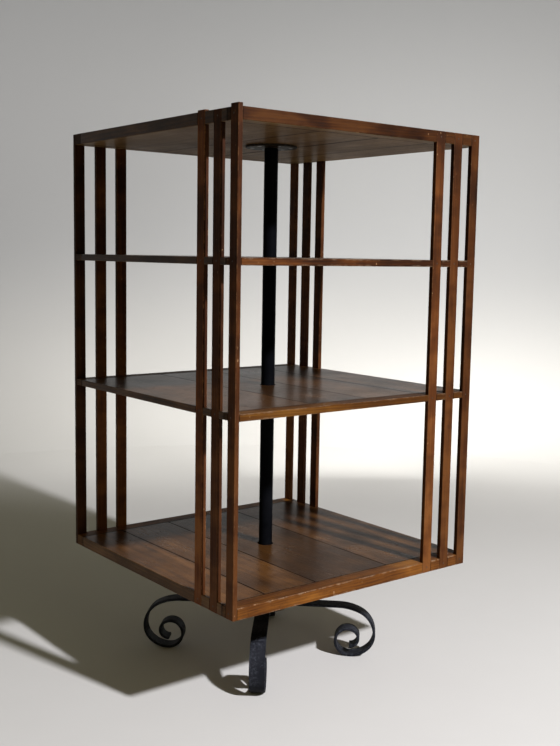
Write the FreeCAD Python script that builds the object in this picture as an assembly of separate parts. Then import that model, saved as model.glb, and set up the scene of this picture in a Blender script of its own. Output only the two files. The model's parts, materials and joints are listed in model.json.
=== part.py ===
import FreeCAD, Part
import math
import os

# Square revolving bookcase on a forged scroll-leg stand.
# Origin: on the floor, on the turning axis. +Z up. The case's faces are square
# to X and Y at rest. Millimetres throughout.

# ---------------------------------------------------------------- dimensions
CASE_W = 540.0          # side of the square case
BASE_GAP = 196.0        # floor to the underside of the bottom panel
PANEL_T = 20.0          # top and bottom panel thickness
SHELF_T = 12.0          # thickness of the two shelves
BAY_LOW = 300.0         # clear height of the lowest bay
BAY_MID = 230.0         # clear height of the middle bay
BAY_TOP = 206.0         # clear height of the top bay
STRIP_W = 30.0          # width of the cross strips at the plank ends

SLAT_W = 21.0           # slat width, in the plane of its side
POST_W = 20.0           # width of the slat that makes the corner
SLAT_T = 8.5            # slat thickness, let into the panel edges
SLAT_PITCH = 45.0       # first edge to first edge
POST_PROUD = 5.0        # the corner post of the -X side stands above the top panel
SLAT_PROUD = 3.0        # so does the third slat of that side, a little less

# plank joints, as x positions (planks run along Y)
JOINTS_TOP = (-85.0, 47.0, 165.0)
JOINTS_UPPER = (-92.0, 32.0, 156.0)
JOINTS_LOWER = (-92.0, 32.0, 156.0)
JOINTS_BOTTOM = (-183.0, -73.0, 95.0)

COLUMN_D = 26.0         # column tube outside diameter
COLUMN_BORE_D = 20.8    # column tube bore
COLUMN_FOOT_Z = 70.0    # lower end of the tube, below the legs
COLUMN_GAP = 0.6        # tube end to the plate that turns above it
SHELF_HOLE_D = 30.0     # loose holes for the column in shelves and bottom

TOP_PLATE_D = 96.0      # round plate under the top panel
TOP_PLATE_T = 4.0
TOP_PLATE_PCD = 72.0
TOP_PLATE_N = 6
PIVOT_D = 12.0          # pivot pin
PIVOT_BORE_D = 12.1     # running fit: 0.05 mm radial
PIVOT_SPIGOT_D = 8.0    # pin's riveted end in the plate
PLUG_LEN = 42.0         # plug in the column head
SOCKET_DEPTH = 30.0
BALL_D = 11.0           # thrust ball at the bottom of the socket
BALL_GAP = 0.1

GUIDE_D = 84.0          # guide plate under the bottom panel
GUIDE_T = 3.0
GUIDE_BORE_D = 26.12    # running fit on the column: 0.06 mm radial
GUIDE_PCD = 62.0
GUIDE_N = 4

SCREW_SHANK_D = 4.0     # wood screws, countersunk
SCREW_HEAD_D = 8.0
SCREW_HEAD_H = 2.2
SCREW_LEN = 14.0

NAIL_D = 2.0            # nails through each slat into the panel edge
NAIL_HEAD_D = 3.2
NAIL_HEAD_H = 0.8
NAIL_LEN = 24.0

BAR_W = 28.0            # leg bar width
BAR_T = 5.0             # leg bar thickness
ARM_START = 17.0        # inner end of each leg, from the axis
ARM_END = 165.3         # where the level part ends and the scroll begins
# The scroll is a chain of tangent arcs, each turning the bar downwards and in.
SCROLL_R = (98.9, 47.9, 50.8, 38.8, 50.0, 29.2, 26.5, 25.4, 22.9, 22.6, 17.1, 15.9, 16.6)
SCROLL_TURN = (25.0, 25.0, 40.0, 45.0, 45.0, 45.0, 45.0, 45.0, 45.0, 45.0, 45.0, 45.0, 50.0)
# leg name: (direction in degrees from +X, change of reach)
LEGS = {
    "leg_front": (-130.3, 0.0),
    "leg_right": (-43.5, -19.5),
    "leg_rear": (49.7, 5.0),
    "leg_left": (137.8, 0.0),
}

HUB_D = 92.0            # two round plates with the legs riveted between them
HUB_T = 5.0
RIVET_D = 8.0
RIVET_HEAD_D = 11.0
RIVET_HEAD_H = 3.5
RIVET_R = (26.0, 38.5)  # two rivets in each leg, from the axis

# ---------------------------------------------------------------- levels
H = CASE_W / 2.0
Z_BOT0 = BASE_GAP
Z_BOT1 = Z_BOT0 + PANEL_T
Z_LOW0 = Z_BOT1 + BAY_LOW
Z_LOW1 = Z_LOW0 + SHELF_T
Z_UP0 = Z_LOW1 + BAY_MID
Z_UP1 = Z_UP0 + SHELF_T
Z_TOP0 = Z_UP1 + BAY_TOP
Z_TOP1 = Z_TOP0 + PANEL_T

V = FreeCAD.Vector
os.makedirs("parts", exist_ok=True)


def box(x0, x1, y0, y1, z0, z1):
    return Part.makeBox(x1 - x0, y1 - y0, z1 - z0, V(x0, y0, z0))


def cyl(d, z0, z1, x=0.0, y=0.0):
    return Part.makeCylinder(d / 2.0, z1 - z0, V(x, y, z0), V(0, 0, 1))


def turned(shape, deg):
    s = shape.copy()
    s.rotate(V(0, 0, 0), V(0, 0, 1), deg)
    return s


def save(name, shape):
    solids = shape.Solids
    shape = solids[0] if len(solids) == 1 else Part.makeCompound(solids)
    if not shape.isValid():
        raise RuntimeError("invalid shape: " + name)
    shape.exportStep("parts/" + name + ".step")
    print(name, len(solids), round(sum(s.Volume for s in solids), 1))


# ---------------------------------------------------------------- slats
# The three slats of one side, drawn on the side that faces -X. They stand at
# its -Y end, which is its right-hand end seen from outside. Quarter turns give
# the other three sides, so the whole case is a pinwheel.
SIDES = (("near_left", 0.0), ("near_right", 90.0), ("far_right", 180.0), ("far_left", 270.0))
SLATS = (  # name, start from the corner, width, nail position from the corner
    ("post", 0.0, POST_W, 12.0),
    ("slat_inner", SLAT_PITCH, SLAT_W, SLAT_PITCH + SLAT_W / 2.0),
    ("slat_outer", 2.0 * SLAT_PITCH, SLAT_W, 2.0 * SLAT_PITCH + SLAT_W / 2.0),
)
LEVELS = (  # name, underside, top face, plank joints
    ("bottom", Z_BOT0, Z_BOT1, JOINTS_BOTTOM),
    ("lower", Z_LOW0, Z_LOW1, JOINTS_LOWER),
    ("upper", Z_UP0, Z_UP1, JOINTS_UPPER),
    ("top", Z_TOP0, Z_TOP1, JOINTS_TOP),
)


def nail_at(y, z):
    """Flat-headed nail driven from the outside of the -X side."""
    shank = Part.makeCylinder(NAIL_D / 2.0, NAIL_LEN - NAIL_HEAD_H, V(-H + NAIL_HEAD_H, y, z), V(1, 0, 0))
    head = Part.makeCylinder(NAIL_HEAD_D / 2.0, NAIL_HEAD_H, V(-H, y, z), V(1, 0, 0))
    return shank.fuse(head).removeSplitter()


nails = {}
for lname, za, zb, joints in LEVELS:
    nails[lname] = [
        turned(nail_at(-H + nail_y, (za + zb) / 2.0), deg)
        for side, deg in SIDES
        for sname, start, width, nail_y in SLATS
    ]
    save("nails_" + lname, Part.makeCompound(nails[lname]))
nail_tool = Part.makeCompound([n for group in nails.values() for n in group])

notches = []
for side, deg in SIDES:
    for sname, start, width, nail_y in SLATS:
        y0 = -H + start
        notches.append(turned(box(-H - 1.0, -H + SLAT_T, y0 if start else y0 - 1.0, y0 + width, Z_BOT0 - 1.0, Z_TOP1 + 1.0), deg))
        proud = 0.0
        if side == "near_left" and sname == "post":
            proud = POST_PROUD
        if side == "near_left" and sname == "slat_outer":
            proud = SLAT_PROUD
        s = turned(box(-H, -H + SLAT_T, y0, y0 + width, Z_BOT0, Z_TOP1 + proud), deg)
        save(sname + "_" + side, s.cut(nail_tool))
notch_tool = Part.makeCompound(notches)

# ---------------------------------------------------------------- top fittings
plate_z0 = Z_TOP0 - TOP_PLATE_T
column_top = plate_z0 - COLUMN_GAP


def countersunk_screw(x, y, z_face, length):
    """Flat head flush with z_face, pointing up into the wood; whole, then slotted."""
    head = Part.makeCone(SCREW_HEAD_D / 2.0, SCREW_SHANK_D / 2.0, SCREW_HEAD_H, V(x, y, z_face), V(0, 0, 1))
    shank = Part.makeCylinder(SCREW_SHANK_D / 2.0, length - SCREW_HEAD_H - 3.0, V(x, y, z_face + SCREW_HEAD_H), V(0, 0, 1))
    tip = Part.makeCone(SCREW_SHANK_D / 2.0, 0.4, 3.0, V(x, y, z_face + length - 3.0), V(0, 0, 1))
    s = head.fuse([shank, tip]).removeSplitter()
    slot = box(x - SCREW_HEAD_D, x + SCREW_HEAD_D, y - 0.5, y + 0.5, z_face - 1.0, z_face + 0.9)
    return s, s.cut(slot)


def screw_ring(n, pcd, z_face, length, offset_deg):
    tools, screws = [], []
    for i in range(n):
        a = math.radians(offset_deg + 360.0 * i / n)
        full, slotted = countersunk_screw(pcd / 2.0 * math.cos(a), pcd / 2.0 * math.sin(a), z_face, length)
        tools.append(full)
        screws.append(slotted)
    return Part.makeCompound(tools), Part.makeCompound(screws)


plate_tool, plate_screws = screw_ring(TOP_PLATE_N, TOP_PLATE_PCD, plate_z0, SCREW_LEN, 15.0)
guide_z0 = Z_BOT0 - GUIDE_T
guide_tool, guide_screws = screw_ring(GUIDE_N, GUIDE_PCD, guide_z0, SCREW_LEN, 45.0)

top_plate = cyl(TOP_PLATE_D, plate_z0, Z_TOP0).cut(cyl(PIVOT_SPIGOT_D, plate_z0 - 1, Z_TOP0 + 1))
top_plate = top_plate.cut(plate_tool)
save("top_plate", top_plate)
save("top_plate_screws", plate_screws)

plug_z0 = column_top - PLUG_LEN
socket_z0 = column_top - SOCKET_DEPTH
ball_z = socket_z0 + BALL_D / 2.0
pin_z0 = socket_z0 + BALL_D + BALL_GAP
pin = cyl(PIVOT_D, pin_z0, plate_z0).fuse(cyl(PIVOT_SPIGOT_D, plate_z0, Z_TOP0)).removeSplitter()
save("pivot_pin", pin)

guide = cyl(GUIDE_D, guide_z0, Z_BOT0).cut(cyl(GUIDE_BORE_D, guide_z0 - 1, Z_BOT0 + 1)).cut(guide_tool)
save("guide_plate", guide)
save("guide_plate_screws", guide_screws)

# ---------------------------------------------------------------- panels
# Planks run along Y between two cross strips, which run along X.
shaft_hole = cyl(SHELF_HOLE_D, Z_BOT0 - 5, Z_UP1 + 5)
cutters = (notch_tool, nail_tool, shaft_hole, plate_tool, guide_tool)


def panel_piece(name, x0, x1, y0, y1, za, zb):
    s = box(x0, x1, y0, y1, za, zb)
    for c in cutters:
        s = s.cut(c)
    save(name, s)


for lname, za, zb, joints in LEVELS:
    xs = (-H,) + joints + (H,)
    for i in range(len(xs) - 1):
        panel_piece("%s_plank_%d" % (lname, i + 1), xs[i], xs[i + 1], -H + STRIP_W, H - STRIP_W, za, zb)
    panel_piece(lname + "_strip_near", -H, H, -H, -H + STRIP_W, za, zb)
    panel_piece(lname + "_strip_far", -H, H, H - STRIP_W, H, za, zb)

# ---------------------------------------------------------------- column
column = cyl(COLUMN_D, COLUMN_FOOT_Z, column_top).cut(cyl(COLUMN_BORE_D, COLUMN_FOOT_Z - 1, column_top + 1))
save("column", column)

plug = cyl(COLUMN_BORE_D, plug_z0, column_top).cut(cyl(PIVOT_BORE_D, socket_z0, column_top + 1))
save("pivot_plug", plug)
ball = Part.makeSphere(BALL_D / 2.0, V(0, 0, ball_z))
save("thrust_ball", ball)


# ---------------------------------------------------------------- legs
def scroll_arcs():
    """The scroll's arcs as (cx, cz, radius, heading, turn), from x = z = 0."""
    out = []
    x = z = th = 0.0
    for r, a in zip(SCROLL_R, SCROLL_TURN):
        a = math.radians(a)
        cx, cz = x + r * math.sin(th), z - r * math.cos(th)
        out.append((cx, cz, r, th, a))
        th -= a
        x, z = cx - r * math.sin(th), cz + r * math.cos(th)
    return out


# The feet stand on the floor: the arc that passes straight down gives the
# depth of the scroll, and with it the height of the level arm.
ARM_Z = max(r + BAR_T / 2.0 - cz for cx, cz, r, th, a in scroll_arcs() if th >= -math.pi >= th - a)
hub_up0 = ARM_Z + BAR_T / 2.0
hub_lo1 = ARM_Z - BAR_T / 2.0
print("arm centre height", round(ARM_Z, 3))


def leg(shift):
    """One leg along +X: flat bar, level arm, scroll foot."""
    h = BAR_T / 2.0
    outer, inner = [], []
    for cx, cz, r, th, a in scroll_arcs():
        def at(rad, t):
            return V(ARM_END + shift + cx - rad * math.sin(t), -BAR_W / 2.0, ARM_Z + cz + rad * math.cos(t))

        outer.append((at(r + h, th), at(r + h, th - a / 2.0), at(r + h, th - a)))
        inner.append((at(r - h, th), at(r - h, th - a / 2.0), at(r - h, th - a)))
    up = V(ARM_START, -BAR_W / 2.0, ARM_Z + h)
    dn = V(ARM_START, -BAR_W / 2.0, ARM_Z - h)
    edges = [Part.makeLine(up, outer[0][0])]
    edges += [Part.Arc(p, m, q).toShape() for p, m, q in outer]
    edges.append(Part.makeLine(outer[-1][2], inner[-1][2]))
    edges += [Part.Arc(q, m, p).toShape() for p, m, q in reversed(inner)]
    edges.append(Part.makeLine(inner[0][0], dn))
    edges.append(Part.makeLine(dn, up))
    return Part.Face(Part.Wire(edges)).extrude(V(0, BAR_W, 0))


def rivet(x, y):
    """Round-headed rivet through both hub plates and one leg."""
    rh = RIVET_HEAD_D / 2.0
    sr = (rh * rh + RIVET_HEAD_H * RIVET_HEAD_H) / (2.0 * RIVET_HEAD_H)
    z1 = hub_up0 + HUB_T
    z0 = hub_lo1 - HUB_T
    up = Part.makeSphere(sr, V(x, y, z1 + RIVET_HEAD_H - sr)).common(cyl(RIVET_HEAD_D + 2, z1, z1 + RIVET_HEAD_H + 1, x, y))
    dn = Part.makeSphere(sr, V(x, y, z0 - RIVET_HEAD_H + sr)).common(cyl(RIVET_HEAD_D + 2, z0 - RIVET_HEAD_H - 1, z0, x, y))
    return cyl(RIVET_D, z0, z1, x, y).fuse([up, dn]).removeSplitter()


rivets = []
rivet_holes = []
for name, (deg, shift) in LEGS.items():
    a = math.radians(deg)
    for r in RIVET_R:
        rx, ry = r * math.cos(a), r * math.sin(a)
        rivets.append(rivet(rx, ry))
        rivet_holes.append(cyl(RIVET_D, hub_lo1 - HUB_T - 1, hub_up0 + HUB_T + 1, rx, ry))
rivet_tool = Part.makeCompound(rivet_holes)

for name, (deg, shift) in LEGS.items():
    save(name, turned(leg(shift), deg).cut(rivet_tool))

column_hole = cyl(COLUMN_D, 0, BASE_GAP)
save("hub_plate_upper", cyl(HUB_D, hub_up0, hub_up0 + HUB_T).cut(column_hole).cut(rivet_tool))
save("hub_plate_lower", cyl(HUB_D, hub_lo1 - HUB_T, hub_lo1).cut(column_hole).cut(rivet_tool))
save("hub_rivets", Part.makeCompound(rivets))
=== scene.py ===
import json
import math
import random

import bmesh
import bpy
from mathutils import Matrix, Vector


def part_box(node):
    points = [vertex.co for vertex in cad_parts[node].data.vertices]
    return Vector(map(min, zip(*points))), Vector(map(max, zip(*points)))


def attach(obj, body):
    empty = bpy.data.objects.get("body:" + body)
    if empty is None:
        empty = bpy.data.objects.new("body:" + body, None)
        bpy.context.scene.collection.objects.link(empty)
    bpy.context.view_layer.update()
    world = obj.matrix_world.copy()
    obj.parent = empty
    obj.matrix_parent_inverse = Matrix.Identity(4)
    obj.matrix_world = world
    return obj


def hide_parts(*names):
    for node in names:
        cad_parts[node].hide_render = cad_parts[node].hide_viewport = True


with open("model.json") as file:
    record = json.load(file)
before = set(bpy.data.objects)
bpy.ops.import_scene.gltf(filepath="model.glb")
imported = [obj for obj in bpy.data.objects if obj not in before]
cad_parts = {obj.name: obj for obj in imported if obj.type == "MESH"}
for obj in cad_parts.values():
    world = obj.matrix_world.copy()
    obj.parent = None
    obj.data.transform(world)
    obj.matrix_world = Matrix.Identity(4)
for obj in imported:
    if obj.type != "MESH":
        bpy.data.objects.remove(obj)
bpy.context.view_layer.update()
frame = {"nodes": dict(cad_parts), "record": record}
NODES = frame["nodes"]

scene = bpy.context.scene
scene.view_settings.view_transform = "Standard"
scene.view_settings.look = "None"
scene.view_settings.exposure = 0.0
scene.view_settings.gamma = 1.0


# ------------------------------------------------------------------ node trees
class Tree:
    """Short names for building a shader tree."""

    def __init__(self, name):
        self.mat = bpy.data.materials.new(name)
        self.mat.use_nodes = True
        self.t = self.mat.node_tree
        self.t.nodes.clear()
        self.out = self.t.nodes.new("ShaderNodeOutputMaterial")
        self.bsdf = self.t.nodes.new("ShaderNodeBsdfPrincipled")
        self.t.links.new(self.bsdf.outputs[0], self.out.inputs[0])

    def put(self, socket, value):
        if isinstance(value, bpy.types.NodeSocket):
            self.t.links.new(value, socket)
        elif value is not None:
            socket.default_value = value

    def new(self, kind, **props):
        n = self.t.nodes.new(kind)
        for k, v in props.items():
            setattr(n, k, v)
        return n

    def object_coords(self):
        return self.new("ShaderNodeTexCoord").outputs["Object"]

    def split(self, v):
        n = self.new("ShaderNodeSeparateXYZ")
        self.put(n.inputs[0], v)
        return n.outputs[0], n.outputs[1], n.outputs[2]

    def join(self, x, y, z):
        n = self.new("ShaderNodeCombineXYZ")
        for i, v in enumerate((x, y, z)):
            self.put(n.inputs[i], v)
        return n.outputs[0]

    def map(self, v, location=(0, 0, 0), scale=(1, 1, 1)):
        n = self.new("ShaderNodeMapping")
        self.put(n.inputs["Vector"], v)
        n.inputs["Location"].default_value = location
        n.inputs["Scale"].default_value = scale
        return n.outputs[0]

    def m(self, op, a, b=None, c=None, clamp=False):
        n = self.new("ShaderNodeMath", operation=op, use_clamp=clamp)
        for i, v in enumerate((a, b, c)):
            if v is not None:
                self.put(n.inputs[i], v)
        return n.outputs[0]

    def noise(self, v, scale=1.0, detail=2.0, rough=0.5, lac=2.0, dist=0.0):
        n = self.new("ShaderNodeTexNoise", noise_dimensions="3D")
        self.put(n.inputs["Vector"], v)
        n.inputs["Scale"].default_value = scale
        n.inputs["Detail"].default_value = detail
        n.inputs["Roughness"].default_value = rough
        n.inputs["Lacunarity"].default_value = lac
        n.inputs["Distortion"].default_value = dist
        return n.outputs["Fac"]

    def voronoi(self, v, scale=1.0, feature="F1", randomness=1.0):
        n = self.new("ShaderNodeTexVoronoi", feature=feature)
        self.put(n.inputs["Vector"], v)
        n.inputs["Scale"].default_value = scale
        n.inputs["Randomness"].default_value = randomness
        return n.outputs["Distance"]

    def remap(self, v, a, b, lo=0.0, hi=1.0, kind="SMOOTHSTEP"):
        n = self.new("ShaderNodeMapRange", interpolation_type=kind, clamp=True)
        for i, x in enumerate((v, a, b, lo, hi)):
            self.put(n.inputs[i], x)
        return n.outputs[0]

    def ramp(self, v, stops, interp="LINEAR"):
        n = self.new("ShaderNodeValToRGB")
        n.color_ramp.interpolation = interp
        e = n.color_ramp.elements
        while len(e) > 1:
            e.remove(e[-1])
        e[0].position, e[0].color = stops[0][0], (*stops[0][1], 1.0)
        for p, c in stops[1:]:
            s = e.new(p)
            s.color = (*c, 1.0)
        self.put(n.inputs[0], v)
        return n.outputs[0]

    def mix(self, fac, a, b, kind="MIX"):
        n = self.new("ShaderNodeMix", data_type="RGBA", blend_type=kind)
        n.clamp_factor = True
        self.put(n.inputs["Factor"], fac)
        for sock, v in ((n.inputs[6], a), (n.inputs[7], b)):
            if isinstance(v, tuple):
                v = (*v, 1.0) if len(v) == 3 else v
            self.put(sock, v)
        return n.outputs[2]

    def bump(self, height, distance, strength=1.0, normal=None):
        n = self.new("ShaderNodeBump")
        n.inputs["Strength"].default_value = strength
        n.inputs["Distance"].default_value = distance
        self.put(n.inputs["Height"], height)
        if normal is not None:
            self.put(n.inputs["Normal"], normal)
        return n.outputs[0]


# ------------------------------------------------------------------ wood
AXES = {"X": (0, 1, 2), "Y": (1, 0, 2), "Z": (2, 0, 1)}


# how a face was finished: specular level, coat weight, coat roughness, roughness to start from
FINISH = {
    "polished": (0.13, 0.05, 0.14, 0.18),
    "waxed": (0.060, 0.016, 0.12, 0.17),
    "rubbed": (0.055, 0.0, 0.3, 0.35),
    "plain": (0.0016, 0.0, 0.3, 0.20),
}
PALETTE = {
    # light, mid, dark
    "walnut": ((0.175, 0.061, 0.0140), (0.094, 0.0285, 0.0066), (0.030, 0.0098, 0.0034)),
    "honey": ((0.300, 0.122, 0.0190), (0.165, 0.0575, 0.0088), (0.066, 0.0205, 0.0045)),
    "bark": ((0.165, 0.0720, 0.0200), (0.088, 0.0360, 0.0095), (0.029, 0.0120, 0.0040)),
    "dusty": ((0.255, 0.152, 0.0640), (0.158, 0.0890, 0.0360), (0.070, 0.0370, 0.0155)),
}


def wood(name, along, seed, lo, hi, tone=1.0, kind="walnut", seams=(), wear=1.0, figure=1.0, finish="rubbed", pale=0.0, patch=0.0, height_shade=0.0, nicks=0.0, face_stain_light_and_shade=(), darker=None):
    """Old stained and waxed hardwood. along is the grain's axis, lo and hi the piece's box in metres,
    seams the planes where it meets a neighbour as (axis, value, half width), pale how much bare wood shows on the
    arrises, patch how far the old stain has gone blotchy, height_shade how much painted shade darkens it at the top (at
    the bottom if negative), nicks how many pale knocks it has. face_stain_light_and_shade gives faces another colour,
    as (axis, side or 0 for both, strength, colour): end-grain stain on strip ends, painted shade on upright side faces,
    painted light on a plank's outer edge. darker makes one end darker, as (axis, from, to, amount)."""
    rnd = random.Random(seed)
    t = Tree(name)
    p = t.object_coords()
    xyz = t.split(p)
    g, a, b = (xyz[i] for i in AXES[along])
    off = (rnd.uniform(-40, 40), rnd.uniform(-40, 40), rnd.uniform(-40, 40))
    q = t.join(g, a, b)

    # growth rings: distance from a pith line outside the board, leaning a little along it
    cen = [(lo[i] + hi[i]) / 2 for i in AXES[along]]
    half = [(hi[i] - lo[i]) / 2 for i in AXES[along]]
    pith_a = cen[1] + rnd.uniform(-0.5, 0.5) * half[1]
    pith_b = cen[2] - rnd.choice((-1, 1)) * rnd.uniform(0.045, 0.11)
    bend = t.noise(t.map(q, off, (2.2, 9.0, 9.0)), 1.0, 3.0, 0.55)
    bend2 = t.noise(t.map(q, (off[1], off[2], off[0]), (5.0, 30.0, 30.0)), 1.0, 2.0, 0.5)
    lean = rnd.uniform(-0.035, 0.035)
    aa = t.m("ADD", t.m("SUBTRACT", a, pith_a), t.m("MULTIPLY", t.m("SUBTRACT", g, cen[0]), lean))
    aa = t.m("ADD", aa, t.m("MULTIPLY", t.m("SUBTRACT", bend, 0.5), 0.034))
    bb = t.m("ADD", t.m("SUBTRACT", b, pith_b), t.m("MULTIPLY", t.m("SUBTRACT", g, cen[0]), rnd.uniform(-0.03, 0.03)))
    bb = t.m("ADD", bb, t.m("MULTIPLY", t.m("SUBTRACT", bend2, 0.5), 0.010))
    r = t.m("SQRT", t.m("ADD", t.m("MULTIPLY", aa, aa), t.m("MULTIPLY", bb, bb)))
    ring = t.m("FRACT", t.m("MULTIPLY", r, rnd.uniform(170, 240)))
    late = t.m("MULTIPLY", t.remap(ring, 0.25, 0.85), t.remap(ring, 1.0, 0.88))
    ring2 = t.noise(t.join(t.m("MULTIPLY", r, 300.0), t.m("MULTIPLY", g, 1.6), off[0]), 1.0, 2.0, 0.6)

    fibre = t.noise(t.map(q, off, (11.0, 520.0, 520.0)), 1.0, 4.0, 0.65)
    fibre2 = t.noise(t.map(q, (off[2], off[0], off[1]), (3.5, 120.0, 120.0)), 1.0, 3.0, 0.6)
    pore = t.noise(t.map(q, (off[1], off[0], off[2]), (60.0, 1500.0, 1500.0)), 1.0, 2.0, 0.5)
    pore = t.remap(pore, 0.60, 0.70)
    cloud = t.noise(t.map(q, off, (4.0, 16.0, 16.0)), 1.0, 4.0, 0.6)
    blotch = t.noise(t.map(p, (off[2], off[1], off[0]), (11.0, 11.0, 11.0)), 1.0, 5.0, 0.65)

    # one value from light to dark, then the stain's own colours
    v = t.m("MULTIPLY", late, 0.11 * figure)
    v = t.m("ADD", v, t.m("MULTIPLY", ring2, 0.22 * figure))
    v = t.m("ADD", v, t.m("MULTIPLY", t.m("SUBTRACT", fibre, 0.25), 0.50))
    v = t.m("ADD", v, t.m("MULTIPLY", t.m("SUBTRACT", fibre2, 0.10), 0.42))
    v = t.m("ADD", v, t.m("MULTIPLY", t.m("SUBTRACT", cloud, 0.5), 0.60))
    v = t.m("ADD", v, t.m("MULTIPLY", t.m("SUBTRACT", blotch, 0.5), 0.55))
    if patch:
        big = t.noise(t.map(p, (off[1], off[2], off[0]), (7.0, 7.0, 16.0)), 1.0, 3.0, 0.55)
        v = t.m("ADD", v, t.m("MULTIPLY", t.m("SUBTRACT", t.remap(big, 0.36, 0.62), 0.5), patch))
    # painted shade: darker towards the top, or towards the bottom where height_shade is negative
    if height_shade:
        v = t.m("ADD", v, t.m("MULTIPLY", t.m("SUBTRACT", xyz[2], 0.60), height_shade))
    # darker towards one end, over the given span
    if darker:
        v = t.m("ADD", v, t.remap(xyz["XYZ".index(darker[0])], darker[1], darker[2], 0.0, darker[3]))
    v = t.m("ADD", v, 0.02, clamp=True)
    k = tone
    light, mid, dark = (tuple(c * k for c in stop) for stop in PALETTE[kind])
    colour = t.ramp(v, [(0.16, light), (0.46, mid), (0.82, dark)])
    # colour by face direction: end-grain stain on the strips' ends, painted shade on the uprights' side faces, painted
    # light on the bottom panel's outer edge
    if face_stain_light_and_shade:
        turned = t.split(t.new("ShaderNodeTexCoord").outputs["Normal"])
        for axis, way, strength, other in face_stain_light_and_shade:
            n = turned["XYZ".index(axis)]
            n = t.m("MULTIPLY", n, way) if way else t.m("ABSOLUTE", n)
            tint = t.mix(t.remap(v, 0.25, 0.75), tuple(1.25 * c for c in other), tuple(0.55 * c for c in other))
            colour = t.mix(t.m("MULTIPLY", t.remap(n, 0.60, 0.85), strength), colour, tint)
    colour = t.mix(t.m("MULTIPLY", pore, 0.50), colour, (0.014, 0.006, 0.003))

    # distance from the box's edges, a little ragged
    ragged = t.noise(t.map(p, off, (60.0, 60.0, 60.0)), 1.0, 4.0, 0.7)
    fine = t.noise(t.map(p, off, (420.0, 420.0, 420.0)), 1.0, 2.0, 0.6)
    near = []
    for i in range(3):
        d = t.m("MINIMUM", t.m("SUBTRACT", xyz[i], lo[i]), t.m("SUBTRACT", hi[i], xyz[i]))
        near.append(t.m("MAXIMUM", d, 0.0))
    small = t.m("MINIMUM", near[0], near[1])
    large = t.m("MAXIMUM", near[0], near[1])
    second = t.m("MAXIMUM", small, t.m("MINIMUM", large, near[2]))
    reach = t.m("ADD", 0.0004, t.m("MULTIPLY", t.remap(ragged, 0.40, 0.75), 0.0030 * wear))
    edge = t.m("SUBTRACT", 1.0, t.m("DIVIDE", second, reach), clamp=True)
    edge = t.m("MULTIPLY", edge, t.remap(fine, 0.25, 0.6))

    # seams: a dark line, dirt drawn in beside it, and no wear there
    line = halo = rubbed = None
    for axis, value, width, *part in seams:
        c = xyz["XYZ".index(axis)]
        if part:
            # an upright let into this face: only as deep as its notch
            d = t.m("ABSOLUTE", t.m("SUBTRACT", c, value))
            one = t.remap(d, 0.5 * width, 1.3 * width, 0.9, 0.0)
            face = t.m("ABSOLUTE", t.m("SUBTRACT", xyz["XYZ".index(part[0])], part[1]))
            one = t.m("MULTIPLY", one, t.m("LESS_THAN", face, 0.0095))
            line = one if line is None else t.m("MAXIMUM", line, one)
            continue
        d = t.m("ABSOLUTE", t.m("SUBTRACT", c, value))
        d_line = t.m("ADD", d, t.m("MULTIPLY", t.m("SUBTRACT", ragged, 0.5), 0.9 * width))
        one = t.remap(d_line, 0.6 * width, 1.4 * width, 1.0, 0.0)
        d_halo = t.m("ADD", d, t.m("MULTIPLY", t.m("SUBTRACT", ragged, 0.5), 0.012))
        two = t.remap(d_halo, 0.0, 0.004 + 5.0 * width, 1.0, 0.0)
        clear = t.remap(d, 0.0, 0.004, 0.0, 1.0)
        edge = t.m("MULTIPLY", edge, clear)
        line = one if line is None else t.m("MAXIMUM", line, one)
        halo = two if halo is None else t.m("MAXIMUM", halo, two)
        if rubbed is None:
            some = t.noise(t.map(p, (off[1], off[0], off[2]), (24.0, 24.0, 24.0)), 1.0, 3.0, 0.6)
            some = t.remap(some, 0.54, 0.66)
            rubbed = 0.0
        rubbed = t.m("MAXIMUM", rubbed, t.m("MULTIPLY", t.remap(d_line, 0.0008 + width, 0.0040, 1.0, 0.0), some))
    if halo is not None:
        colour = t.mix(t.m("MULTIPLY", halo, 0.45), colour, (0.022, 0.010, 0.005))
        colour = t.mix(t.m("MULTIPLY", rubbed, 0.55), colour, (0.155, 0.080, 0.030))
    worn_a = (0.230 * k, 0.110 * k, 0.045 * k)
    worn_b = (0.150 * k, 0.058 * k, 0.017 * k)
    if pale:
        worn_a = (0.52 * pale, 0.39 * pale, 0.27 * pale)
        worn_b = (0.36 * pale, 0.20 * pale, 0.085 * pale)
    worn = t.mix(fine, worn_a, worn_b)
    colour = t.mix(t.m("MULTIPLY", edge, 0.85), colour, worn)
    if line is not None:
        colour = t.mix(t.m("MULTIPLY", line, 0.96), colour, (0.003, 0.002, 0.0015))

    if nicks:
        spot = t.noise(t.map(p, (off[2], off[0], off[1]), (170.0, 170.0, 120.0)), 1.0, 2.0, 0.5)
        where = t.noise(t.map(p, (off[0], off[1], off[2]), (16.0, 16.0, 16.0)), 1.0, 2.0, 0.5)
        nick = t.m("MULTIPLY", t.remap(spot, 0.70, 0.76), t.remap(where, 0.45, 0.60))
        colour = t.mix(t.m("MULTIPLY", nick, nicks), colour, (0.36, 0.21, 0.10))

    # scratches and grime on the flats
    scr = t.noise(t.map(p, (off[0], off[2], off[1]), (26.0, 34.0, 30.0)), 1.0, 5.0, 0.75, dist=1.6)
    grime = t.remap(scr, 0.56, 0.80)
    colour = t.mix(t.m("MULTIPLY", grime, 0.45), colour, (0.014, 0.007, 0.004))

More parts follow.
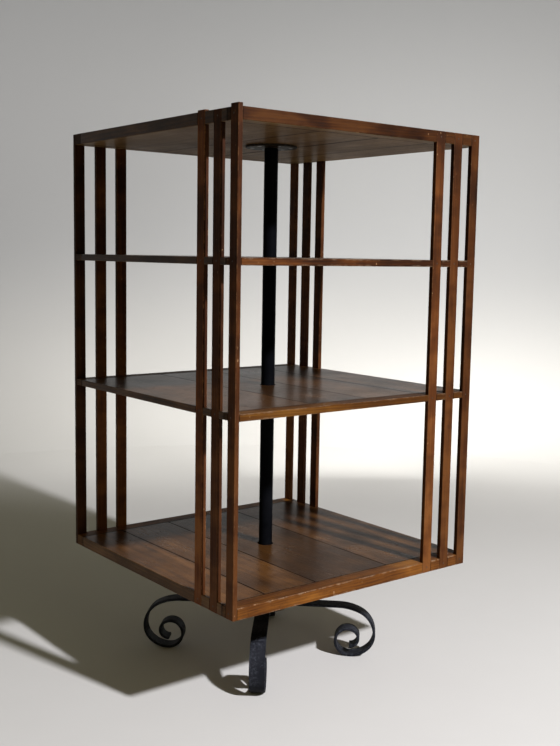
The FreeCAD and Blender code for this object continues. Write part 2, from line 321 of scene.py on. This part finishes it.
    level, coat, coat_rough, start = FINISH[finish]
    t.put(t.bsdf.inputs["Base Color"], colour)
    rough = t.m("ADD", start, t.m("MULTIPLY", blotch, 0.18))
    rough = t.m("ADD", rough, t.m("MULTIPLY", fibre, 0.08))
    rough = t.m("ADD", rough, t.m("MULTIPLY", grime, 0.14))
    rough = t.m("ADD", rough, t.m("MULTIPLY", edge, 0.20), clamp=True)
    if line is not None:
        rough = t.m("ADD", rough, t.m("MULTIPLY", line, 0.5), clamp=True)
    t.put(t.bsdf.inputs["Roughness"], rough)
    t.bsdf.inputs["Specular IOR Level"].default_value = level
    t.bsdf.inputs["Coat Weight"].default_value = coat
    t.bsdf.inputs["Coat Roughness"].default_value = coat_rough
    h = t.m("ADD", t.m("MULTIPLY", fibre, 0.6), t.m("MULTIPLY", pore, -0.9))
    h = t.m("ADD", h, t.m("MULTIPLY", late, 0.25))
    n1 = t.bump(h, 0.00012, 0.8)
    n2 = t.bump(blotch, 0.0016, 0.35, n1)
    t.put(t.bsdf.inputs["Normal"], n2)
    return t.mat


def bare_wood(name, seed, colour=(0.30, 0.165, 0.075)):
    """Broken wood in a chip: paler, rough, split along the grain."""
    rnd = random.Random(seed)
    off = (rnd.uniform(-40, 40), rnd.uniform(-40, 40), rnd.uniform(-40, 40))
    t = Tree(name)
    p = t.object_coords()
    split = t.noise(t.map(p, off, (90.0, 900.0, 900.0)), 1.0, 4.0, 0.65)
    tint = t.noise(t.map(p, off, (210.0, 210.0, 210.0)), 1.0, 3.0, 0.6)
    c = t.mix(t.remap(split, 0.35, 0.7), colour, tuple(x * 0.45 for x in colour))
    c = t.mix(t.remap(tint, 0.40, 0.66), c, (0.060, 0.024, 0.008))
    t.put(t.bsdf.inputs["Base Color"], c)
    t.put(t.bsdf.inputs["Roughness"], t.m("ADD", 0.5, t.m("MULTIPLY", split, 0.3)))
    t.bsdf.inputs["Specular IOR Level"].default_value = 0.15
    t.put(t.bsdf.inputs["Normal"], t.bump(split, 0.0003, 0.8))
    return t.mat


# ------------------------------------------------------------------ metals
def iron(name, seed, base=(0.0100, 0.0106, 0.0130), dust=(0.019, 0.0196, 0.0230), rust=0.20, level=0.012, rough0=0.34, scuff=0.6):
    """Forged bar and pipe under old black paint: hammered and a little dusty."""
    rnd = random.Random(seed)
    off = (rnd.uniform(-40, 40), rnd.uniform(-40, 40), rnd.uniform(-40, 40))
    t = Tree(name)
    p = t.object_coords()
    big = t.noise(t.map(p, off, (14, 14, 14)), 1.0, 4.0, 0.6)
    mid = t.noise(t.map(p, off, (85, 85, 85)), 1.0, 4.0, 0.6)
    fine = t.noise(t.map(p, off, (700, 700, 700)), 1.0, 3.0, 0.6)
    hammer = t.voronoi(t.map(p, off, (62, 62, 62)), 1.0, "SMOOTH_F1")
    colour = t.mix(t.remap(big, 0.40, 0.75), base, dust)
    colour = t.mix(t.m("MULTIPLY", t.remap(mid, 0.60, 0.78), rust), colour, (0.045, 0.022, 0.012))
    colour = t.mix(t.m("MULTIPLY", t.remap(fine, 0.66, 0.8), 0.25), colour, (0.06, 0.058, 0.055))
    if scuff:
        speck = t.noise(t.map(p, off, (240, 240, 240)), 1.0, 4.0, 0.7)
        here = t.noise(t.map(p, (off[2], off[0], off[1]), (38, 38, 20)), 1.0, 2.0, 0.5)
        speck = t.m("MULTIPLY", t.remap(speck, 0.46, 0.68), t.remap(here, 0.38, 0.60))
        colour = t.mix(t.m("MULTIPLY", speck, scuff), colour, (0.062, 0.066, 0.076))
    t.put(t.bsdf.inputs["Base Color"], colour)
    rough = t.m("ADD", rough0, t.m("MULTIPLY", big, 0.20))
    rough = t.m("ADD", rough, t.m("MULTIPLY", t.remap(mid, 0.5, 0.8), 0.25), clamp=True)
    t.put(t.bsdf.inputs["Roughness"], rough)
    t.bsdf.inputs["Metallic"].default_value = 0.0
    t.bsdf.inputs["Specular IOR Level"].default_value = level
    n1 = t.bump(hammer, 0.0007, 0.35)
    n2 = t.bump(mid, 0.0005, 0.5, n1)
    n3 = t.bump(fine, 0.00012, 0.5, n2)
    t.put(t.bsdf.inputs["Normal"], n3)
    return t.mat


def steel(name, seed, base=(0.30, 0.29, 0.28)):
    rnd = random.Random(seed)
    off = (rnd.uniform(-40, 40), rnd.uniform(-40, 40), rnd.uniform(-40, 40))
    t = Tree(name)
    p = t.object_coords()
    big = t.noise(t.map(p, off, (120, 120, 120)), 1.0, 4.0, 0.6)
    fine = t.noise(t.map(p, off, (900, 900, 900)), 1.0, 3.0, 0.6)
    colour = t.mix(t.remap(big, 0.4, 0.75), base, (0.12, 0.075, 0.05))
    t.put(t.bsdf.inputs["Base Color"], colour)
    t.bsdf.inputs["Metallic"].default_value = 1.0
    t.put(t.bsdf.inputs["Roughness"], t.m("ADD", 0.32, t.m("MULTIPLY", big, 0.3)))
    t.put(t.bsdf.inputs["Normal"], t.bump(fine, 0.0001, 0.4))
    return t.mat


# ------------------------------------------------------------------ dress the nodes
JOINTS = {
    "top": (-0.085, 0.047, 0.165),
    "upper": (-0.092, 0.032, 0.156),
    "lower": (-0.092, 0.032, 0.156),
    "bottom": (-0.183, -0.073, 0.095),
}
H = 0.270
STRIP = 0.030


SKINS = []


def chip_tool(name, seed, places):
    """Rough lumps along an arris, to be cut out of it. places is (x, y, z, length, depth), the length along X."""
    rnd = random.Random(seed)
    bm = bmesh.new()
    for x, y, z, length, depth in places:
        made = bmesh.ops.create_icosphere(bm, subdivisions=2, radius=1.0)["verts"]
        turn = Matrix.Rotation(rnd.uniform(-0.25, 0.25), 3, "X") @ Matrix.Rotation(rnd.uniform(-0.10, 0.10), 3, "Z")
        for v in made:
            n = v.co.normalized()
            k = 1.0 + 0.22 * math.sin(7.0 * n.x + 3.0 * n.z + seed) + 0.16 * math.sin(11.0 * n.y - 5.0 * n.x + 2.0 * seed) + rnd.uniform(-0.06, 0.06)
            v.co = Vector((x, y, z)) + turn @ Vector((n.x * length / 2, n.y * depth, n.z * depth)) * k
    bm.normal_update()
    for f in bm.faces:
        f.material_index = 2
    me = bpy.data.meshes.new(name)
    bm.to_mesh(me)
    bm.free()
    for _ in range(3):
        me.materials.append(None)
    o = bpy.data.objects.new(name, me)
    scene.collection.objects.link(o)
    return o


def skin(node, mats, slot, width, narrow=None, seams=(), rim=0.014, chips=()):
    """A finished copy of a CAD node with its long arrises rounded, clean faces and true normals. It stands for the node.
    Arrises that lie on a seam are rounded by narrow. A second material goes to faces that look down."""
    bm = bmesh.new()
    bm.from_mesh(NODES[node].data)
    weight = bm.edges.layers.float.new("bevel_weight_edge")
    bmesh.ops.remove_doubles(bm, verts=bm.verts, dist=1e-6)
    bmesh.ops.dissolve_limit(bm, angle_limit=math.radians(0.3), use_dissolve_boundaries=False, verts=bm.verts, edges=bm.edges, delimit=set())
    bm.normal_update()
    sharp = [e for e in bm.edges if len(e.link_faces) == 2 and abs(e.calc_face_angle_signed(0.0)) > math.radians(30)]
    mine = {e: None for e in sharp}
    for e in sharp:
        if mine[e] is not None:
            continue
        group, todo = [], [e]
        mine[e] = True
        while todo:
            x = todo.pop()
            group.append(x)
            for v in x.verts:
                for y in v.link_edges:
                    if y in mine and mine[y] is None:
                        mine[y] = True
                        todo.append(y)
        pts = [v.co for x in group for v in x.verts]
        span = max(max(c[i] for c in pts) - min(c[i] for c in pts) for i in range(3))
        if span < rim:
            continue
        for x in group:
            if x.calc_face_angle_signed(0.0) <= 0:
                continue
            on_seam = any(all(abs(v.co["XYZ".index(s[0])] - s[1]) < 2e-5 for v in x.verts) for s in seams)
            x[weight] = (narrow or width) / width if on_seam else 1.0
    me = bpy.data.meshes.new("raw_" + node)
    bm.to_mesh(me)
    bm.free()
    for _ in range(3):
        me.materials.append(None)
    tmp = bpy.data.objects.new("raw_" + node, me)
    scene.collection.objects.link(tmp)
    b = tmp.modifiers.new("arris", "BEVEL")
    b.width, b.segments, b.limit_method = width, 3, "WEIGHT"
    b.use_clamp_overlap, b.harden_normals, b.material = False, False, 1
    tool = None
    if chips:
        tool = chip_tool("chips_" + node, len(node), chips)
        cut = tmp.modifiers.new("chips", "BOOLEAN")
        cut.operation, cut.solver, cut.object = "DIFFERENCE", "EXACT", tool
    SKINS.append((node, tmp, mats, slot, tool))


def drop_crumbs(me):
    """Slivers that a cut leaves loose: islands of a few faces."""
    bm = bmesh.new()
    bm.from_mesh(me)
    seen, crumbs = set(), []
    for f in bm.faces:
        if f in seen:
            continue
        island, todo = [], [f]
        seen.add(f)
        while todo:
            x = todo.pop()
            island.append(x)
            for v in x.verts:
                for y in v.link_faces:
                    if y not in seen:
                        seen.add(y)
                        todo.append(y)
        if len(island) < 12:
            crumbs += island
    bmesh.ops.delete(bm, geom=crumbs, context="FACES")
    bmesh.ops.delete(bm, geom=[v for v in bm.verts if not v.link_faces], context="VERTS")
    bm.to_mesh(me)
    bm.free()


def finish_skins():
    graph = bpy.context.evaluated_depsgraph_get()
    done = [(node, bpy.data.meshes.new_from_object(tmp.evaluated_get(graph)), mats, slot) for node, tmp, mats, slot, _ in SKINS]
    for _, tmp, _, _, tool in SKINS:
        for old in (tmp, tool):
            if old:
                data = old.data
                bpy.data.objects.remove(old)
                bpy.data.meshes.remove(data)
    for node, out, mats, slot in done:
        out.name = "skin_" + node
        if len(mats) == 3:
            drop_crumbs(out)
        # a flat face keeps its own normal right up to its edge; the rounding between two faces runs from one to the other
        polys = out.polygons
        count = len(polys)
        index = [0] * count
        polys.foreach_get("material_index", index)
        round_ = [x == 1 for x in index]
        face_n = [f.normal.copy() for f in polys]
        face_a = [max(f.area, 1e-12) for f in polys]
        corners = [tuple(f.vertices) for f in polys]
        at = [[] for _ in out.vertices]
        for i, vs in enumerate(corners):
            for v in vs:
                at[v].append(i)
        normals = []
        for i, vs in enumerate(corners):
            n0 = face_n[i]
            limit = 0.60 if round_[i] else 0.85
            for v in vs:
                use = [g for g in at[v] if not round_[g] and face_n[g].dot(n0) > limit]
                n = Vector((0.0, 0.0, 0.0))
                if use:
                    for g in use:
                        n += face_n[g]
                else:
                    for g in at[v]:
                        if face_n[g].dot(n0) > 0.5:
                            n += face_n[g] * face_a[g]
                normals.append(n.normalized() if n.length > 0 else n0)
        polys.foreach_set("use_smooth", [True] * count)
        out.materials.clear()
        for m in mats:
            out.materials.append(m)
        last = len(mats) - 1
        polys.foreach_set("material_index", [2 if index[i] == 2 and last >= 2 else 1 if last and face_n[i].z < -0.9 else 0 for i in range(count)])
        out.normals_split_custom_set(normals)
        o = bpy.data.objects.new("piece_" + node, out)
        scene.collection.objects.link(o)
        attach(o, BODY[node])
        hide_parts(node)


def assign(o, mat):
    o.data.materials.clear()
    o.data.materials.append(mat)


BODY = {n: b for b, members in frame["record"]["behaviour"]["bodies"].items() for n in members}
# each level's cross strips: tone, palette, how blotchy
STRIPS = {"top": (0.29, "walnut", 0.42), "upper": (0.60, "walnut", 0.45), "lower": (0.40, "honey", 0.35), "bottom": (0.84, "honey", 0.35)}
UPRIGHTS = {
    "post_near_left": 0.60, "slat_outer_near_left": 1.25, "slat_inner_near_left": 0.60,
    "post_near_right": 0.42, "slat_outer_near_right": 0.75, "slat_inner_near_right": 0.52,
    "post_far_right": 1.15, "slat_outer_far_right": 0.74, "slat_inner_far_right": 0.72,
    "post_far_left": 0.24, "slat_outer_far_left": 0.80, "slat_inner_far_left": 0.66,
}
# where an upright stands against an edge: the two lines beside it, on the face it is let into
LET_IN = []
for n in UPRIGHTS:
    lo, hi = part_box(n)
    across = 0 if hi.x - lo.x > hi.y - lo.y else 1
    face = 1 - across
    value = (-H if lo[face] < 0 else H)
    for edge in (lo[across], hi[across]):
        if abs(edge) < H - 0.001:
            LET_IN.append(("XY"[across], edge, 0.0016 if n == "post_near_right" else 0.0008, "XY"[face], value))
    # the corner upright's thickness shows on the face round the corner
    if n.startswith("post_"):
        inner = hi[face] if lo[face] < 0 else lo[face]
        LET_IN.append(("XY"[face], inner, 0.0007, "XY"[across], -H if lo[across] < 0 else H))


def let_into(lo, hi):
    """The lines of LET_IN that cross a piece's own outer face."""
    found = []
    for axis, value, width, face, where in LET_IN:
        i, j = "XY".index(axis), "XY".index(face)
        if lo[i] < value < hi[i] and (abs(lo[j] - where) < 1e-4 or abs(hi[j] - where) < 1e-4):
            found.append((axis, value, width, face, where))
    return found


# knocks along the front's lower and upper arrises: x, length and depth in millimetres, upper arris or not
KNOCKS = {
    "bottom_strip_near": [(-253, 5, 1.5, 1), (-226, 15, 1.0, 1), (-190, 24, 0.9, 1), (-121, 9, 1.1, 1), (-48, 18, 0.8, 1), (37, 7, 1.3, 1), (96, 22, 0.8, 1), (141, 8, 1.0, 1), (-160, 11, 1.1, 0), (-18, 9, 1.2, 0)],
    "bottom_strip_far": [(-140, 10, 1.2, 1), (-52, 17, 0.9, 1), (66, 8, 1.3, 1), (171, 14, 1.0, 1), (214, 6, 1.4, 0), (12, 10, 1.1, 0)],
    "top_strip_near": [(-214, 8, 0.9, 1), (-93, 12, 0.8, 1), (58, 7, 1.0, 1), (126, 10, 0.8, 1), (-30, 8, 0.9, 0)],
    "top_strip_far": [(-96, 9, 0.9, 1), (31, 12, 0.8, 1), (140, 7, 1.0, 1), (205, 6, 1.0, 0)],
    "lower_strip_near": [(-203, 8, 0.8, 1), (-84, 13, 0.7, 1), (72, 8, 0.8, 1), (-12, 7, 0.8, 0)],
}
bare = bare_wood("wood_bare", 77)
for i, n in enumerate(sorted(NODES)):
    o = NODES[n]
    lo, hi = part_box(n)
    seed = 100 + i
    rnd = random.Random(seed)
    level = n.split("_")[0]
    if "_plank_" in n:
        thin = {"upper": 0.0006, "lower": 0.0010, "bottom": 0.0013}.get(level, 0.0008)
        seams = [("Y", -H + STRIP, thin), ("Y", H - STRIP, thin)]
        for k, j in enumerate(JOINTS[level]):
            if lo.x - 1e-4 < j < hi.x + 1e-4:
                seams.append(("X", j, 0.0016 if (level, k) == ("top", 1) else thin))
        tone = {"bottom_plank_1": 1.15, "bottom_plank_2": 0.86}.get(n, rnd.uniform(0.42, 0.74))
        # painted light: the outer -X edge of the bottom panel's first plank is coloured lighter and warmer, as if lit
        face_stain_light_and_shade = [("X", -1, 0.8, (0.120, 0.060, 0.022))] if n == "bottom_plank_1" else []
        edge_pale = 0.40 if lo.x < -H + 0.001 and level != "top" else 0.0
        over = wood("wood_" + n, "Y", seed, lo, hi, tone=tone, kind="bark", seams=seams + let_into(lo, hi), wear=0.8, figure=1.3, patch=0.25, finish="waxed" if level == "bottom" else "polished", pale=edge_pale, face_stain_light_and_shade=face_stain_light_and_shade)
        under = wood("wood_under_" + n, "Y", seed + 500, lo, hi, tone=rnd.uniform(0.75, 1.0), kind="dusty", seams=seams, wear=0.5, finish="plain")
        skin(n, (over, under), "panel_wood", 0.0010, 0.0009 if level in ("bottom", "lower") else 0.0005, seams)
    elif "_strip_" in n:
        side = -H if n.endswith("near") else H
        y = side + (STRIP if side < 0 else -STRIP)
        tone, kind, patch = STRIPS[level]
        mat = wood("wood_" + n, "X", seed, lo, hi, tone=tone, kind=kind, seams=[("Y", y, 0.0006)] + let_into(lo, hi), wear=1.4, figure=1.1, pale={"bottom": 0.52, "top": 0.0}.get(level, 0.35), patch=patch, nicks=0.75,
                   face_stain_light_and_shade=[("X", 0, 0.75, (0.085, 0.042, 0.016) if level == "bottom" else (0.034, 0.015, 0.006))],
                   darker=("X", 0.12, 0.22, 0.38) if n == "bottom_strip_near" else None)
        under = wood("wood_under_" + n, "X", seed + 500, lo, hi, tone=0.9, kind="dusty", seams=[("Y", y, 0.0008)], wear=0.5, finish="plain")
        places = [(x / 1000, side, hi.z if upper else lo.z, ln / 1000, dp / 1000) for x, ln, dp, upper in KNOCKS.get(n, ())]
        skin(n, (mat, under, bare), "panel_wood", 0.0012, 0.0005, [("Y", y, 0)], chips=places)
    elif n.startswith(("post_", "slat_")):
        # painted shade: an upright's side faces (its thickness) are coloured darker, most on the two near-left slats,
        # standing in for the shade each slat casts on the next
        across = "X" if hi.x - lo.x > hi.y - lo.y else "Y"
        # painted shade: height_shade darkens each upright towards the top, and the far right outer slat towards the
        # bottom
        mat = wood("wood_" + n, "Z", seed, lo, hi, tone=UPRIGHTS[n], wear=0.9, figure=0.8, patch=0.30, height_shade=-0.2 if n == "slat_outer_far_right" else 0.45, nicks=0.35,
                   face_stain_light_and_shade=[(across, 0, 0.80 if n in ("slat_outer_near_left", "slat_inner_near_left") else 0.45, (0.030, 0.0105, 0.004))])
        skin(n, (mat,), "slat_wood", 0.0010)
    elif n.startswith("nails_"):
        assign(o, steel("steel_" + n, seed, (0.05, 0.042, 0.036)))
    elif n == "top_plate":
        skin(n, (iron("iron_" + n, seed, (0.022, 0.016, 0.010), (0.036, 0.027, 0.017)), iron("iron_face_" + n, seed, (0.020, 0.015, 0.010), (0.034, 0.025, 0.016), 0.5, 0.0015, 0.24, 0.0)), "plate_iron", 0.0005)
    elif n == "guide_plate":
        skin(n, (iron("iron_" + n, seed, (0.030, 0.024, 0.018), (0.045, 0.036, 0.027), 0.5),), "plate_iron", 0.0005)
    elif n.endswith("_screws") or n in ("pivot_pin", "pivot_plug", "thrust_ball"):
        assign(o, steel("steel_" + n, seed, (0.16, 0.15, 0.14)))
    elif n == "column":
        skin(n, (iron("iron_column", seed, (0.0024, 0.0026, 0.0032), (0.0044, 0.0047, 0.0056), 0.05, 0.012, 0.25, 0.0),), "black_iron", 0.0006)
    elif n.startswith(("leg_", "hub_plate")):
        skin(n, (iron("iron_" + n, seed),), "black_iron", 0.0007)
    else:
        assign(o, iron("iron_" + n, seed))

finish_skins()

# ------------------------------------------------------------------ floor and backdrop
FLAT, BEND, TALL, SEG = 2.15, 1.7, 3.6, 96


def stage_material():
    t = Tree("studio_floor")
    p = t.object_coords()
    x, y, z = t.split(p)
    cloud = t.noise(t.map(p, (3, 5, 7), (1.1, 1.1, 1.1)), 1.0, 4.0, 0.55)
    fine = t.noise(t.map(p, (1, 2, 3), (14, 14, 14)), 1.0, 5.0, 0.65)
    colour = t.mix(cloud, (0.530, 0.510, 0.460), (0.585, 0.565, 0.515))
    colour = t.mix(t.m("MULTIPLY", fine, 0.25), colour, (0.50, 0.48, 0.43))
    colour = t.mix(t.remap(z, 0.0, 0.9), colour, (0.425, 0.418, 0.395))
    # painted shade: the wall is coloured darker still higher up
    colour = t.mix(t.remap(z, 1.3, 3.0), colour, (0.360, 0.358, 0.340))
    t.put(t.bsdf.inputs["Base Color"], colour)
    t.bsdf.inputs["Roughness"].default_value = 0.7
    t.bsdf.inputs["Specular IOR Level"].default_value = 0.25
    return t.mat


def ring_surface(name, profile, a0, a1, mat):
    """A surface of revolution between two directions, in degrees."""
    count = max(2, round(SEG * (a1 - a0) / 360.0))
    closed = a1 - a0 >= 360.0
    cols = count if closed else count + 1
    verts, faces = [], []
    for r, z in profile:
        for k in range(cols):
            a = math.radians(a0 + (a1 - a0) * k / count)
            verts.append((r * math.cos(a), r * math.sin(a), z))
    for i in range(len(profile) - 1):
        for k in range(count):
            k2 = (k + 1) % cols
            a, b = i * cols, (i + 1) * cols
            faces.append((a + k, b + k, b + k2, a + k2))
    me = bpy.data.meshes.new(name)
    me.from_pydata(verts, [], faces)
    me.polygons.foreach_set("use_smooth", [True] * len(me.polygons))
    me.materials.append(mat)
    me.update()
    o = bpy.data.objects.new(name, me)
    scene.collection.objects.link(o)
    return o


pale = stage_material()
ring_surface("studio_floor", [(0.002, 0), (0.4, 0), (0.8, 0), (1.2, 0), (1.6, 0), (2.0, 0), (FLAT, 0)], 0, 360, pale)
bend = [(FLAT + BEND * math.sin(math.pi / 2 * k / 16), BEND - BEND * math.cos(math.pi / 2 * k / 16)) for k in range(17)]
low = bend + [(FLAT + BEND, 2.0), (FLAT + BEND, 2.4)]
high = [(FLAT + BEND, 2.4), (FLAT + BEND, 3.0), (FLAT + BEND, TALL)]
ring_surface("studio_wall_far", low, -40, 135, pale)
# the rest of the wall gives the object no light and no reflection
for o in (
    ring_surface("studio_wall_near", low, 135, 320, pale),
    ring_surface("studio_wall_high", high, 0, 360, pale),
):
    o.visible_diffuse = False
    o.visible_glossy = False
    o.visible_shadow = False


# ------------------------------------------------------------------ light
def area(name, towards, distance, size, watts, colour, target=(0, 0, 0.45), size_y=None):
    d = Vector(towards).normalized()
    li = bpy.data.lights.new(name, "AREA")
    li.shape = "RECTANGLE" if size_y else "DISK"
    li.size = size
    if size_y:
        li.size_y = size_y
    li.energy = watts
    li.color = colour
    o = bpy.data.objects.new(name, li)
    o.location = Vector(target) + d * distance
    o.rotation_mode = "QUATERNION"
    o.rotation_quaternion = d.to_track_quat("Z", "Y")
    scene.collection.objects.link(o)
    return o


area("key", (0.413, -3.343, 2.32), 4.09, 0.20, 300.0, (0.985, 1.0, 1.115))
area("window", (-0.03, -0.966, 0.259), 3.1, 0.9, 6.0, (1.0, 0.97, 0.78), size_y=1.7)
# lights that face the wall and floor behind and leave the object alone
for name, towards, distance, watts, target, spread in (
    ("wash_right", (-0.70, -0.71, 0.0), 2.6, 6.5, (3.2, 2.15, 0.60), 80),
    ("wash_middle", (-0.60, -0.80, 0.0), 2.4, 8.2, (2.55, 2.88, 0.45), 105),
    ("wash_low_left", (-0.40, -0.70, 1.0), 2.0, 5.5, (1.15, 2.15, 0.05), 75),
    ("wash_low_right", (-0.20, -0.10, 1.0), 1.9, 4.5, (2.15, 1.10, 0.05), 65),
):
    wash = area(name, towards, distance, 0.7, watts, (0.99, 1.0, 1.03), target=target, size_y=0.7)
    wash.data.spread = math.radians(spread)
    wash.visible_camera = False
    wash.visible_glossy = False

world = bpy.data.worlds.new("studio")
world.use_nodes = True
world.node_tree.nodes["Background"].inputs["Color"].default_value = (1.0, 0.93, 0.52, 1.0)
world.node_tree.nodes["Background"].inputs["Strength"].default_value = 0.105
scene.world = world

# ------------------------------------------------------------------ camera
AZ, EL, ROLL = math.radians(-38.203), math.radians(6.665), math.radians(0.957)
PLACE = Vector((-1.17465, -1.52992, 0.7756))
back = Vector((math.sin(AZ) * math.cos(EL), -math.cos(AZ) * math.cos(EL), math.sin(EL)))
right = Vector((math.cos(AZ), math.sin(AZ), 0.0))
up = back.cross(right)
cx = right * math.cos(ROLL) + up * math.sin(ROLL)
cy = -right * math.sin(ROLL) + up * math.cos(ROLL)
cam = bpy.data.cameras.new("camera")
cam.sensor_fit = "VERTICAL"
cam.sensor_height = 36.0
cam.sensor_width = 36.0
cam.lens = 1014.593 / 746.0 * 36.0
cam.clip_start, cam.clip_end = 0.05, 60.0
co = bpy.data.objects.new("camera", cam)
m = Matrix((cx, cy, back)).transposed().to_4x4()
m.translation = PLACE
co.matrix_world = m
scene.collection.objects.link(co)
scene.camera = co
